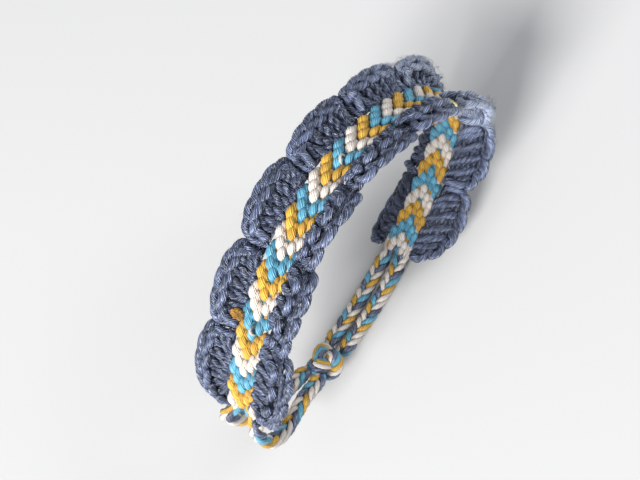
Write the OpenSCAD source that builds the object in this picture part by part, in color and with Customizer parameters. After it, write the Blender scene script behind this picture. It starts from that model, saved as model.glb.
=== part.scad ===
// A knotted friendship bracelet in the form that it has when it is worn.
// A flat band of chevron knots has a crocheted edging of shells along each
// edge, and two braids at each end meet in a plain knot on the under side.
// X runs across the loop, Y along its axis, and Z up through the band's top.
// The origin is the middle of the hollow inside the loop.

/* [Hollow of the loop] */
// Half of the hollow's width
hollow_half_w = 30; // [28:0.5:32]
// Height of the hollow above its widest line
hollow_top_h = 19.6; // [18:0.2:21]
// Depth of the hollow below its widest line
hollow_under_h = 15; // [13:0.2:17]
// Radius of the hollow's two sides
hollow_side_r = 8.4; // [7.4:0.2:9.4]

/* [Knotted band] */
// Width of the knotted band
band_w = 5.4; // [5.2:0.1:7]
// Thickness of the knotted band
band_t = 1.8; // [1.5:0.1:2.2]
// Radius of the band's rounded edges
band_edge_r = 0.6; // [0.3:0.1:0.7]
// Length of one row of knots
row_pitch = 3.25; // [3.1:0.05:3.35]
// Rows of knots beside one shell
rows_per_shell = 4; // [3:1:5]
// Number of shells along each edge
shells = 8; // [6:1:8]
// Length at each end of the band over which the last shell runs out
bare_end = 2; // [1:0.25:3]
// Length of the band between its near end and the top of the loop
near_reach = 38.4; // [36:0.2:41]

/* [Crocheted edgings] */
// Height of the back edging's shells
back_shell_h = 6; // [5:0.1:7]
// Height of the front edging's shells
front_shell_h = 6.6; // [6:0.1:8]
// Height of an edging between two shells
valley_h = 3.4; // [2.8:0.1:4]
// Height of an edging at its two ends
end_h = 1.6; // [1.2:0.1:2.4]
// Thickness of an edging's posts
post_t = 1.5; // [1.2:0.1:1.8]
// Thickness of an edging's rim
rim_t = 2.2; // [1.9:0.1:2.6]
// Length over which an edging turns up from the band
turn_len = 3; // [2:0.25:4]

/* [Braids and knot] */
// Width of a braid
braid_w = 2.8; // [2:0.1:3]
// Thickness of a braid
braid_t = 2.1; // [1.6:0.1:2.4]
// Distance between the middles of the two braids at an end of the band
braid_spread = 3.1; // [3.1:0.1:4]
// Length of one bump of a braid
braid_pitch = 3.2; // [2.6:0.1:4]
// Length of the knot
knot_len = 7.5; // [6:0.5:10]
// Width of the knot
knot_w = 7; // [6.4:0.2:9]
// Thickness of the knot
knot_t = 4.6; // [3.6:0.2:6]

/* [Fit] */
// Clearance between two pieces
clearance = 0.12; // [0.1:0.02:0.2]

/* [Hidden] */

slate = [0.40, 0.42, 0.52];
turquoise = [0.30, 0.65, 0.76];
cream = [0.90, 0.87, 0.80];
golden = [0.88, 0.66, 0.18];

// The loop is four arcs that run smoothly into each other: one over the top,
// one round each side and one underneath. Every surface of it has the same
// four middles and only another radius.
mid = band_t / 2;
side_x = hollow_half_w - hollow_side_r;
side_r = hollow_side_r + mid;
top_z = hollow_top_h + mid;
under_z = hollow_under_h + mid;
top_r = (side_x ^ 2 + top_z ^ 2 - side_r ^ 2) / (2 * (top_z - side_r));
under_r = (side_x ^ 2 + under_z ^ 2 - side_r ^ 2) / (2 * (under_z - side_r));
top_angle = atan2(side_x, top_r - top_z);
under_angle = atan2(side_x, under_r - under_z);
side_angle = 180 - top_angle - under_angle;
function arc_length(radius, angle) = radius * angle * PI / 180;
top_len = arc_length(top_r, top_angle);
side_len = arc_length(side_r, side_angle);
half_loop = top_len + side_len + arc_length(under_r, under_angle);

// Direction from the top, in degrees, at q millimetres round from the top.
function bearing(q) =
    q < top_len ? q / top_r * 180 / PI
    : q < top_len + side_len ? top_angle + (q - top_len) / side_r * 180 / PI
    : 180 - under_angle + (q - top_len - side_len) / under_r * 180 / PI;

// Middle of the arc that lies q millimetres round from the top, and its radius.
function arc_at(q) =
    q < top_len ? [0, top_z - top_r, top_r]
    : q < top_len + side_len ? [side_x, 0, side_r]
    : [0, under_r - under_z, under_r];

// A point s millimetres round the loop from its top, y along its axis, and
// out millimetres outside the hollow. The far side is positive.
function wrap(s) = s > half_loop ? s - 2 * half_loop : s < -half_loop ? s + 2 * half_loop : s;
function on_loop(s, y, out) =
    let(w = wrap(s), q = abs(w), side = w < 0 ? -1 : 1,
        angle = bearing(q), arc = arc_at(q), r = arc[2] - mid + out)
    [side * (arc[0] + r * sin(angle)), y, arc[1] + r * cos(angle)];

// Closes rings of points, all with the same number, into one solid.
module skin(rings) {
    n = len(rings[0]);
    last = len(rings) - 1;
    walls = [for (i = [0:last - 1]) for (j = [0:n - 1])
        let(k = (j + 1) % n)
        each [[i * n + j, i * n + k, (i + 1) * n + k],
              [i * n + j, (i + 1) * n + k, (i + 1) * n + j]]];
    caps = [[for (j = [n - 1:-1:0]) j], [for (j = [0:n - 1]) last * n + j]];
    polyhedron(points = [for (ring = rings) each ring], faces = concat(walls, caps), convexity = 6);
}

// The knotted band: a rounded section carried round the loop.
band_start = -near_reach;
shell_len = rows_per_shell * row_pitch;
band_len = shells * shell_len + 2 * bare_end;
band_stop = band_start + band_len;
band_rings = 60;
edge_steps = 3;

// The band's section as points [y, out], corner by corner.
band_section = [for (corner = [0:3]) for (k = [0:edge_steps])
    let(a = 90 * (corner + k / edge_steps),
        y = (corner == 0 || corner == 3 ? 1 : -1) * (band_w / 2 - band_edge_r),
        out = (corner < 2 ? -1 : 1) * (mid - band_edge_r))
    [y + band_edge_r * cos(a), mid + out - band_edge_r * sin(a)]];

module chevron_band() {
    color(turquoise)
        skin([for (i = [0:band_rings]) [for (p = band_section)
            on_loop(band_start + band_len * i / band_rings, p[0], p[1])]]);
}

// The edgings. From the near end on, each shell has its own height, as a share
// of the named height, its own lean away from the band's plane, and the height
// of the valley on its near side, as a share of the named valley height.
height = 0;
lean = 1;
valley = 2;
back_shells = [[0.99, 39, 1], [0.96, 45, 0.82], [1.02, 46, 0.7], [1.05, 47, 1.1],
               [1.06, 60, 1.4], [1.08, 86, 1.2], [1.05, 110, 1.75], [0.92, 64, 1]];
front_shells = [[1.06, 26, 1], [0.97, 47, 1], [0.98, 60, 0.9], [0.91, 49, 0.6],
                [1, 33, 1.2], [1.04, 22, 1.05], [1.03, 21, 1], [1, 26, 1]];
steps_per_shell = 14;
shell_power = 0.8;
end_power = 1.5;

function smooth(t) = t * t * (3 - 2 * t);

// The lean at place p, counted in shells from the edging's near end.
function lean_at(table, p) =
    let(q = min(max(p - 0.5, 0), shells - 1), i = min(floor(q), shells - 2))
    table[i][lean] + (table[i + 1][lean] - table[i][lean]) * smooth(q - i);

// A point of an edging: v out from the band's edge over a sheet that turns up
// by the angle tilt, and w off that sheet's middle.
function on_edging(s, v, w, tilt) =
    let(turned = min(v, turn_len), r = turn_len / tilt * 180 / PI, a = tilt * turned / turn_len,
        across = r * sin(a) + (v - turned) * cos(tilt) - w * sin(a),
        up = r * (1 - cos(a)) + (v - turned) * sin(tilt) + w * cos(a))
    on_loop(s, -(band_w / 2 + clearance + across), mid + up);

// One section of an edging: thin posts with a round rim at height h. The rim
// is smaller where the edging is lower than the rim is thick.
rim_steps = 6;
rim_half_angle = 115;
rim_neck = 0.95;
foot_h = 0.1;
function edging_ring(s, h, tilt) =
    let(rim_r = min(rim_t, h - 2 * foot_h) / 2, post = min(post_t / 2, rim_r),
        post_end = max(h - (1 + rim_neck) * rim_r, foot_h),
        outline = [[0, -post], [post_end / 2, -post], [post_end, -post],
                   for (k = [0:rim_steps])
                       let(a = rim_half_angle * (2 * k / rim_steps - 1))
                       [h - rim_r + rim_r * cos(a), rim_r * sin(a)],
                   [post_end, post], [post_end / 2, post], [0, post]])
    [for (p = outline) on_edging(s, p[0], p[1], tilt)];

// A rounded shell: at place t from -1 to 1 it gives [place, rise], both
// from 0 to 1 or -1, with steep flanks and a flat top. The outer half of an
// edging's last shell falls off evenly instead.
function shell_curve(t) =
    [sign(t) * abs(sin(t * 90)) ^ shell_power, max(cos(t * 90), 0) ^ shell_power];
function end_curve(t) = [sin(t * 90), max(cos(t * 90), 0) ^ end_power];

module edging(table, shell_h) {
    start = band_start + bare_end;
    skin([for (i = [0:shells - 1]) for (k = [0:steps_per_shell - (i < shells - 1 ? 1 : 0)])
        let(t = 2 * k / steps_per_shell - 1,
            ending = (i == 0 && t < 0) || (i == shells - 1 && t > 0),
            c = ending ? end_curve(t) : shell_curve(t),
            reach = shell_len / 2 + (ending ? bare_end : 0),
            low = ending ? end_h : valley_h * table[t > 0 ? i + 1 : i][valley],
            h = low + (shell_h * table[i][height] - low) * c[1])
        edging_ring(start + (i + 0.5) * shell_len + c[0] * reach, h, lean_at(table, i + (1 + c[0]) / 2))]);
}

module front_edging() {
    color(slate) edging(front_shells, front_shell_h);
}

module back_edging() {
    color(slate) mirror([0, 1, 0]) edging(back_shells, back_shell_h);
}

// The braids and the knot fill the rest of the loop. A braid's way is given in
// steps from the band to the knot: share of the length, share of the spread
// across the loop, and lift off the hollow in millimetres.
rest_len = 2 * half_loop - band_len;
braid_len = (rest_len - knot_len) / 2 - 2 * clearance;
knot_at = band_stop + rest_len / 2;
along = 0;
across = 1;
lift = 2;
near_front_way = [[0, 1.1, 0.2], [0.15, 1.4, 1.8], [0.3, 1.6, 3.2], [0.45, 1.6, 3.6], [0.6, 1.3, 2.8],
                  [0.8, 1.05, 1.2], [1, 1, 0.8]];
near_back_way = [[0, 2, 0.8], [0.1, 2.4, 1.8], [0.22, 2.2, 2.1], [0.4, 1.6, 1.5], [0.6, 1.15, 0.9],
                 [0.8, 1, 0.8], [1, 1, 0.8]];
far_way = [[0, 1, 0.1], [0.15, 1.02, 0.2], [0.3, 1.04, 0.3], [0.45, 1.04, 0.5], [0.6, 1.02, 0.6],
           [0.8, 1, 0.7], [1, 1, 0.8]];
rings_per_braid = 24;
braid_sides = 10;
braid_bump = 0.07;

// A smooth curve through a table's rows: column c at place t from 0 to 1.
function through(a, b, c, d, t) =
    0.5 * (2 * b + (c - a) * t + (2 * a - 5 * b + 4 * c - d) * t ^ 2 + (3 * b - a - 3 * c + d) * t ^ 3);
function way_at(way, column, t) =
    let(n = len(way) - 1, hits = [for (i = [0:n - 1]) if (way[i][along] <= t) i],
        i = min(max(hits), n - 1), b = way[i], c = way[i + 1],
        a = way[max(i - 1, 0)], d = way[min(i + 2, n)],
        u = (t - b[along]) / (c[along] - b[along]))
    through(a[column], b[column], c[column], d[column], u);

// A braid from the band's end at s, turn 1 or -1 round the loop, on one side.
module braid(s, turn, side, way) {
    rings = [for (i = [0:rings_per_braid])
        let(t = i / rings_per_braid,
            here = s + turn * (clearance + t * braid_len),
            y = side * braid_spread / 2 * way_at(way, across, t),
            out = braid_t / 2 + way_at(way, lift, t),
            bump = 1 - braid_bump * (1 + cos(360 * t * braid_len / braid_pitch)) / 2)
        [for (j = [0:braid_sides - 1])
            let(a = 360 * j / braid_sides)
            on_loop(here, y + braid_w / 2 * bump * sin(a), out + braid_t / 2 * bump * cos(a))]];
    skin(turn > 0 ? rings : [for (ring = rings) [for (j = [braid_sides - 1:-1:0]) ring[j]]]);
}

module near_braid_front() {
    color(cream) braid(band_start, -1, -1, near_front_way);
}

module near_braid_back() {
    color(golden) braid(band_start, -1, 1, near_back_way);
}

module far_braid_front() {
    color(cream) braid(band_stop, 1, -1, far_way);
}

module far_braid_back() {
    color(golden) braid(band_stop, 1, 1, far_way);
}

// The knot is a plump lump with round ends, flat against the hollow.
knot_steps = 10;
knot_sides = 16;
knot_end_share = 0.8;

module tie_knot() {
    rings = [for (i = [0:knot_steps])
        let(t = 2 * i / knot_steps - 1,
            swell = knot_end_share + (1 - knot_end_share) * sqrt(1 - t ^ 2),
            here = knot_at + t * (knot_len / 2 - clearance))
        [for (j = [0:knot_sides - 1])
            let(a = 360 * j / knot_sides)
            on_loop(here, knot_w / 2 * swell * sin(a), knot_t / 2 * (1 + swell * cos(a)))]];
    color(turquoise) skin(rings);
}

chevron_band();
front_edging();
back_edging();
near_braid_front();
near_braid_back();
far_braid_front();
far_braid_back();
tie_knot();
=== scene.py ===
# %% [markdown]
# # A friendship bracelet in real yarn
# The bracelet is a flat band of chevron knots with a crocheted edging of
# shells along both edges, and plaited tails tied on the under side. The solid
# model gives its form and size. Here every knot, stitch and plait is laid as
# a strand of floss, because yarn looks like yarn only when light falls into
# the real gaps between its strands.

import bpy
import numpy as np
from mathutils import Matrix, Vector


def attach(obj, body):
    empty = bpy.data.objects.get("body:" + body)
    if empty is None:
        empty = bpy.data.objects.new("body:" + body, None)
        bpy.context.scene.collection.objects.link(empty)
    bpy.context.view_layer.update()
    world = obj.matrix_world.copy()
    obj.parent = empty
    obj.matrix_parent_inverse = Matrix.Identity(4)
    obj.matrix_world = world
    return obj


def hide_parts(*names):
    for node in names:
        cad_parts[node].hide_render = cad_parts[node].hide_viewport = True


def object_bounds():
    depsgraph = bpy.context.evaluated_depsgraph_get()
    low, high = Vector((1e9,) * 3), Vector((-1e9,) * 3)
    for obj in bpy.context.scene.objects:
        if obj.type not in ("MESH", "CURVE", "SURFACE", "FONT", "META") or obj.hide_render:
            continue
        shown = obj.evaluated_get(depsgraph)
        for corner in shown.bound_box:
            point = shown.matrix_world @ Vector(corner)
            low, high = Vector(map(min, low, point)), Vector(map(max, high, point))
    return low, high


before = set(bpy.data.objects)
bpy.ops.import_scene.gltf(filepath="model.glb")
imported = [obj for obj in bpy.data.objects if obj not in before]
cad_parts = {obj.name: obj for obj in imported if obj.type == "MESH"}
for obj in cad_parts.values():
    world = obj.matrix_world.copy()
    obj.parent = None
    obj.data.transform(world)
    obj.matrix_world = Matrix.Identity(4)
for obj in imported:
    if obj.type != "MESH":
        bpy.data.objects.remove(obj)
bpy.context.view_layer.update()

# %% [markdown]
# ## The camera and the floor
# The camera was found by matching the points of the knot rows, so it is given
# by its place and three directions. The picture is turned: its right edge
# points along the band's far end. A plain pale floor lies just under the
# lowest strand.

# %% Set the camera
MM = 0.001
FOCAL_PIXELS = 1000.0
PICTURE_WIDTH = 640.0
SENSOR_WIDTH = 36.0
CLIP_START = 0.005
CAMERA_PLACE = np.array([-39.10, -68.71, 143.70])
CAMERA_RIGHT = np.array([0.5289, -0.8025, -0.2761])
CAMERA_DOWN = np.array([-0.8165, -0.3923, -0.4237])


def unit(v):
    """The same directions with length 1."""
    return v / np.maximum(np.linalg.norm(v, axis=-1, keepdims=True), 1e-9)


def smooth(t):
    """A step from 0 to 1 that starts and ends level: three times the square less twice the cube."""
    return t * t * (3 - 2 * t)


def set_camera():
    """Builds the camera's matrix from its right and down directions, made exactly square."""
    right = unit(CAMERA_RIGHT)
    back = unit(np.cross(CAMERA_DOWN, right))
    up = np.cross(back, right)
    data = bpy.data.cameras.new("camera")
    data.sensor_width = SENSOR_WIDTH
    data.lens = FOCAL_PIXELS / PICTURE_WIDTH * SENSOR_WIDTH
    data.clip_start = CLIP_START
    camera = bpy.data.objects.new("camera", data)
    turn = np.column_stack([right, up, back, CAMERA_PLACE * MM])
    camera.matrix_world = Matrix(np.vstack([turn, [0, 0, 0, 1]]).tolist())
    bpy.context.scene.collection.objects.link(camera)
    bpy.context.scene.camera = camera
    print("camera lens:", round(data.lens, 2), "mm")


set_camera()

# %% [markdown]
# ## The loop
# Everything lies on one closed loop, made of four arcs that run smoothly into
# each other. A strand is easy to lay once each place has three numbers: how
# far round the loop, how far along its axis, and how far out from the hollow
# inside it.

# %% Sizes of the loop and the band, in millimetres
HOLLOW_HALF_W = 30.0
HOLLOW_TOP_H = 19.6
HOLLOW_UNDER_H = 15.0
HOLLOW_SIDE_R = 8.4
BAND_W = 5.4
BAND_T = 1.8
ROW = 3.25
ROWS_PER_SHELL = 4
SHELLS = 8
BARE_END = 2.0
NEAR_REACH = 38.4
CLEARANCE = 0.12

MID = BAND_T / 2
SIDE_X = HOLLOW_HALF_W - HOLLOW_SIDE_R
SIDE_R = HOLLOW_SIDE_R + MID
TOP_Z = HOLLOW_TOP_H + MID
UNDER_Z = HOLLOW_UNDER_H + MID
TOP_R = (SIDE_X**2 + TOP_Z**2 - SIDE_R**2) / (2 * (TOP_Z - SIDE_R))
UNDER_R = (SIDE_X**2 + UNDER_Z**2 - SIDE_R**2) / (2 * (UNDER_Z - SIDE_R))
TOP_ANGLE = np.arctan2(SIDE_X, TOP_R - TOP_Z)
UNDER_ANGLE = np.arctan2(SIDE_X, UNDER_R - UNDER_Z)
TOP_LEN = TOP_R * TOP_ANGLE
SIDE_LEN = SIDE_R * (np.pi - TOP_ANGLE - UNDER_ANGLE)
HALF_LOOP = TOP_LEN + SIDE_LEN + UNDER_R * UNDER_ANGLE
SHELL_LEN = ROWS_PER_SHELL * ROW
BAND_START = -NEAR_REACH
BAND_STOP = BAND_START + SHELLS * SHELL_LEN + 2 * BARE_END


def on_loop(s, y, out):
    """Points s round from the top, y along the axis and out off the hollow.

    The angle from the top grows with s at a rate of one over each arc's
    radius, and a point lies at that angle on the arc, out along its radius.
    """
    s, y, out = np.broadcast_arrays(np.asarray(s, float), y, out)
    s = (s + HALF_LOOP) % (2 * HALF_LOOP) - HALF_LOOP
    hand, q = np.where(s < 0, -1.0, 1.0), np.abs(s)
    over, beside = q < TOP_LEN, q < TOP_LEN + SIDE_LEN
    angle = np.where(over, q / TOP_R, np.where(
        beside, TOP_ANGLE + (q - TOP_LEN) / SIDE_R,
        np.pi - UNDER_ANGLE + (q - TOP_LEN - SIDE_LEN) / UNDER_R))
    radius = np.where(over, TOP_R, np.where(beside, SIDE_R, UNDER_R)) - MID + out
    middle_x = np.where(over | ~beside, 0.0, SIDE_X)
    middle_z = np.where(over, TOP_Z - TOP_R, np.where(beside, 0.0, UNDER_R - UNDER_Z))
    x = hand * (middle_x + radius * np.sin(angle))
    return np.stack([x, y, middle_z + radius * np.cos(angle)], axis=-1)


print("round the loop:", round(2 * HALF_LOOP, 1), "mm")
print("knotted:", round(BAND_STOP - BAND_START, 1), "mm")

# %% [markdown]
# ## A strand of floss
# Cotton floss is six fine threads laid side by side with a slow twist. A
# curve with a round bevel would be quick, but it has no threads. Here a small
# profile with a lobe for each thread is carried along a path and turned as it
# goes, for many strands at once, so each thread is a real ridge that catches
# the light. Thick yarn gets eight lobes.

# %% Carry a lobed profile along many paths
TIP_LEAST = 0.03


def strands(path, up, half_w, half_h, twist_len, sides=12, threads=6, groove=0.2,
            start_turn=0.0, tip=0.35, shade=0.0):
    """Closed tubes along path, an array of strands by rings by x, y, z.

    At each ring the profile's point at angle a is the centre plus
    half_w * cos(a) to the side and half_h * sin(a) along up, drawn in by a
    groove between each two threads. The angle gains one turn in each
    twist_len, and both ends close over a length of tip times the strand's
    height. The depth it gives back is painted shade: one in the grooves
    between the threads, plus the shade given for each ring that lies deep
    inside the yarn; below zero it turns into a pale haze.
    """
    count, rings = path.shape[:2]
    along = unit(np.gradient(path, axis=1))
    side = unit(np.cross(along, up))
    top = np.cross(side, along)
    length = np.zeros((count, rings))
    length[:, 1:] = np.cumsum(np.linalg.norm(np.diff(path, axis=1), axis=2), axis=1)
    half_w, half_h = (np.broadcast_to(h, (count, rings)) for h in (half_w, half_h))
    to_end = np.minimum(length, length[:, -1:] - length)
    from_tip = np.minimum(to_end / (tip * 2 * half_h), 1)
    close = np.sqrt(np.clip(1 - (1 - from_tip) ** 2, TIP_LEAST, 1))
    j = np.arange(sides)
    turn = length / twist_len * 2 * np.pi + np.reshape(start_turn, (-1, 1))
    angle = 2 * np.pi * j / sides + turn[..., None]
    lobe = np.abs(np.sin(np.pi * threads * j / sides))
    size = close[..., None] * (1 - groove * (1 - lobe))
    points = (path[:, :, None] + (half_w[..., None] * size * np.cos(angle))[..., None] * side[:, :, None]
              + (half_h[..., None] * size * np.sin(angle))[..., None] * top[:, :, None])
    # Painted shade: one in the grooves between threads, plus the painted shade given for rings deep in the
    # yarn.
    depth = 1 - lobe + np.broadcast_to(shade, (count, rings))[..., None]
    return points, length, depth


sample = strands(np.linspace([0, 0, 0], [10, 0, 0], 5)[None], np.array([0, 0, 1.0]), 0.5, 0.5, 4.0)
print("a strand through 5 rings has", sample[0].shape[1] * sample[0].shape[2], "points")

# %% [markdown]
# ## From strands to a mesh
# A piece has thousands of small faces. Adding them one by one would be slow,
# so the corner numbers are worked out for all strands at once and handed over
# as whole arrays. The strand's length and turn go along as a UV map, so that
# a material can follow the yarn.

# %% Make one mesh from many strands
def tube_faces(count, rings, sides):
    """Corner numbers of the four-sided walls and of the end caps, facing outwards."""
    k, i, j = np.meshgrid(np.arange(count), np.arange(rings - 1), np.arange(sides), indexing="ij")
    base = (k * rings + i) * sides
    after = (j + 1) % sides
    walls = np.stack([base + j, base + sides + j, base + sides + after, base + after], axis=-1)
    first = np.arange(count)[:, None] * rings * sides + np.arange(sides)
    last = first[:, ::-1] + (rings - 1) * sides
    return walls.reshape(-1, 4), np.concatenate([first, last])


def make_piece(name, groups, material, nodes=()):
    """One mesh from groups of strands, with UVs in millimetres along and turns round.

    Each corner of a wall takes its ring's length as u and its side's share of
    a turn as v, and every point keeps its painted shade, from its depth in a
    groove and inside the yarn, as the groove attribute.
    """
    points, loops, starts, uvs, grooves = [], [], [], [], []
    point_count = loop_count = 0
    for place, length, depth in groups:
        count, rings, sides = place.shape[:3]
        walls, caps = tube_faces(count, rings, sides)
        k, i, j = np.meshgrid(np.arange(count), np.arange(rings - 1), np.arange(sides), indexing="ij")
        low, high = length[k, i], length[k, i + 1]
        near, far = j / sides, (j + 1) / sides
        wall_uv = np.stack([np.stack([low, near], -1), np.stack([high, near], -1),
                            np.stack([high, far], -1), np.stack([low, far], -1)], axis=-2)
        cap_uv = np.zeros((2 * count, sides, 2))
        points.append(place.reshape(-1, 3) * MM)
        grooves.append(depth.reshape(-1))
        loops.append(np.concatenate([walls.ravel(), caps.ravel()]) + point_count)
        starts.append(loop_count + np.arange(len(walls)) * 4)
        starts.append(loop_count + len(walls) * 4 + np.arange(2 * count) * sides)
        uvs.append(np.concatenate([wall_uv.reshape(-1, 2), cap_uv.reshape(-1, 2)]))
        point_count += place.shape[0] * rings * sides
        loop_count += walls.size + caps.size
    points, loops, starts = np.concatenate(points), np.concatenate(loops), np.concatenate(starts)
    mesh = bpy.data.meshes.new(name)
    mesh.vertices.add(len(points))
    mesh.vertices.foreach_set("co", points.ravel().astype(np.float32))
    mesh.loops.add(len(loops))
    mesh.loops.foreach_set("vertex_index", loops.astype(np.int32))
    mesh.polygons.add(len(starts))
    mesh.polygons.foreach_set("loop_start", starts.astype(np.int32))
    mesh.polygons.foreach_set("use_smooth", np.ones(len(starts), bool))
    mesh.update(calc_edges=True)
    layer = mesh.uv_layers.new(name="strand")
    layer.data.foreach_set("uv", np.concatenate(uvs).ravel().astype(np.float32))
    shade_mark = mesh.attributes.new("groove", "FLOAT", "POINT")
    shade_mark.data.foreach_set("value", np.concatenate(grooves).astype(np.float32))
    mesh.validate()
    mesh.materials.append(material)
    piece = bpy.data.objects.new(name, mesh)
    bpy.context.scene.collection.objects.link(piece)
    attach(piece, "root")
    if nodes:
        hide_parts(*nodes)
    mesh.calc_loop_triangles()
    print(name, "has", len(mesh.loop_triangles), "triangles")
    return piece


# %% [markdown]
# ## The finish of cotton floss
# Mercerised cotton is dyed through, has a soft gleam and shows hair-fine
# fibres along each thread. A flat colour would look like plastic. The colour
# wanders a little along the strand, painted shade darkens it in the grooves
# and deep inside the yarn, some threads are brighter, partly at random and
# partly as painted highlights, and a stretched noise on the strand's own UV
# map makes the fibres.

# %% Make the floss materials
SPECULAR_TINT = (0.86, 0.93, 1.0, 1.0)
SHEEN_ROUGHNESS = 0.4
# Scales of two noises along the strand and round it, and of one in space.
FIBRE_SCALE = (1.1, 30.0, 1.0)
THREAD_SCALE = (0.45, 9.0, 1.0)
WANDER_SCALE = 420.0
# At scale 1 a wave texture repeats 20 / (2 pi) times in each unit.
THREAD_LINES = 12
WAVE_SCALE = THREAD_LINES * 2 * np.pi / 20
FIBRE_SHARE = 0.4
# Painted shade: between the relief's top and floor the hollows of the thread lines take up to the depth's
# share of the shade colour, and the groove attribute adds GROOVE_SHADE of it for each unit.
RELIEF_TOP = 0.75
RELIEF_FLOOR = 0.25
GROOVE_SHADE = 0.6
NOISE_LOW = 0.35
NOISE_HIGH = 0.68
# Per thread the brightness falls by up to STREAK_DOWN and rises by up to STREAK_UP times the streak: tone
# that differs at random, and painted highlights on the brightest threads.
STREAK_DOWN = 0.7
STREAK_UP = 1.4
# The pale haze that the fuzz and the yarn at the far bend go over to: the pale look of fuzz, and on the yarn
# partly painted sheen.
HAZE = (0.42, 0.46, 0.54)
HAZE_RATE = 1.3
BUMP_DEPTH = 0.00012
# The sockets of a Mix node that take and give colours.
MIX_FIRST, MIX_SECOND, MIX_RESULT = 6, 7, 2


def floss(name, colour, shade, roughness=0.6, depth=0.5, spread=0.16, streak=0.2, sheen=0.12,
          gleam=0.4):
    """A floss material: colour on the ridges, painted shade in the grooves and between the fine threads.

    The brightness differs at random by up to the spread from place to place,
    and by about the streak from thread to thread, more upwards than
    downwards: tone that differs at random, with painted highlights on the
    brightest threads. Where the groove attribute is below zero the colour goes
    over to a pale haze, partly the look of fuzz from wear and partly painted
    sheen.
    """
    material = bpy.data.materials.new(name)
    material.use_nodes = True
    nodes, links = material.node_tree.nodes, material.node_tree.links
    shader = nodes["Principled BSDF"]
    shader.inputs["Roughness"].default_value = roughness
    shader.inputs["Sheen Weight"].default_value = sheen
    shader.inputs["Sheen Roughness"].default_value = SHEEN_ROUGHNESS
    shader.inputs["Specular IOR Level"].default_value = gleam
    shader.inputs["Specular Tint"].default_value = SPECULAR_TINT

    def add(kind, **values):
        """A new node with its inputs set by their names, in which an underscore stands for a space."""
        node = nodes.new("ShaderNode" + kind)
        for key, value in values.items():
            node.inputs[key.replace("_", " ")].default_value = value
        return node

    uv = nodes.new("ShaderNodeUVMap")
    uv.uv_map = "strand"
    stretch = add("Mapping", Scale=FIBRE_SCALE)
    fibres = add("TexNoise", Scale=1.0, Detail=4.0)
    links.new(uv.outputs["UV"], stretch.inputs["Vector"])
    links.new(stretch.outputs["Vector"], fibres.inputs["Vector"])
    threads = add("TexWave", Scale=WAVE_SCALE, Distortion=1.2, Detail=1.0)
    threads.bands_direction = "Y"
    links.new(uv.outputs["UV"], threads.inputs["Vector"])

    relief = nodes.new("ShaderNodeMix")
    relief.inputs["Factor"].default_value = FIBRE_SHARE
    links.new(threads.outputs["Fac"], relief.inputs["A"])
    links.new(fibres.outputs["Fac"], relief.inputs["B"])
    # Painted shade: the hollows of the thread lines and the groove attribute darken the colour towards the
    # shade colour.
    shade_mark = nodes.new("ShaderNodeAttribute")
    shade_mark.attribute_name = "groove"
    hollow = add("MapRange", From_Min=RELIEF_TOP, From_Max=RELIEF_FLOOR, To_Min=0.0, To_Max=depth)
    painted_shade = nodes.new("ShaderNodeMath")
    painted_shade.operation = "MULTIPLY_ADD"
    painted_shade.use_clamp = True
    painted_shade.inputs[1].default_value = GROOVE_SHADE
    links.new(relief.outputs["Result"], hollow.inputs["Value"])
    links.new(shade_mark.outputs["Fac"], painted_shade.inputs[0])
    links.new(hollow.outputs["Result"], painted_shade.inputs[2])

    tone = nodes.new("ShaderNodeMix")
    tone.data_type = "RGBA"
    tone.inputs[MIX_FIRST].default_value = (*colour, 1)
    tone.inputs[MIX_SECOND].default_value = (*shade, 1)
    links.new(painted_shade.outputs["Value"], tone.inputs["Factor"])

    place = nodes.new("ShaderNodeTexCoord")
    wander = add("TexNoise", Scale=WANDER_SCALE, Detail=2.0)
    links.new(place.outputs["Object"], wander.inputs["Vector"])
    by_thread = add("Mapping", Scale=THREAD_SCALE)
    single = add("TexNoise", Scale=1.0, Detail=1.0)
    links.new(uv.outputs["UV"], by_thread.inputs["Vector"])
    links.new(by_thread.outputs["Vector"], single.inputs["Vector"])
    last = tone.outputs[MIX_RESULT]
    # The first noise is tone that differs at random; the second, by thread, is partly that and partly painted
    # highlight.
    for source, down, more in ((wander, spread, spread), (single, STREAK_DOWN * streak, STREAK_UP * streak)):
        light = add("MapRange", From_Min=NOISE_LOW, From_Max=NOISE_HIGH, To_Min=1 - down, To_Max=1 + more)
        vary = nodes.new("ShaderNodeHueSaturation")
        links.new(source.outputs["Fac"], light.inputs["Value"])
        links.new(light.outputs["Result"], vary.inputs["Value"])
        links.new(last, vary.inputs["Color"])
        last = vary.outputs["Color"]
    # Partly wear, partly painted sheen: below zero the groove attribute turns the colour towards the pale
    # haze.
    pale_share = add("Math")
    pale_share.operation = "MULTIPLY"
    pale_share.use_clamp = True
    pale_share.inputs[1].default_value = -HAZE_RATE
    links.new(shade_mark.outputs["Fac"], pale_share.inputs[0])
    pale = nodes.new("ShaderNodeMix")
    pale.data_type = "RGBA"
    pale.inputs[MIX_SECOND].default_value = (*HAZE, 1)
    links.new(pale_share.outputs["Value"], pale.inputs["Factor"])
    links.new(last, pale.inputs[MIX_FIRST])
    links.new(pale.outputs[MIX_RESULT], shader.inputs["Base Color"])

    bump = add("Bump", Strength=1.0, Distance=BUMP_DEPTH)
    links.new(relief.outputs["Result"], bump.inputs["Height"])
    links.new(bump.outputs["Normal"], shader.inputs["Normal"])
    return material


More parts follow.
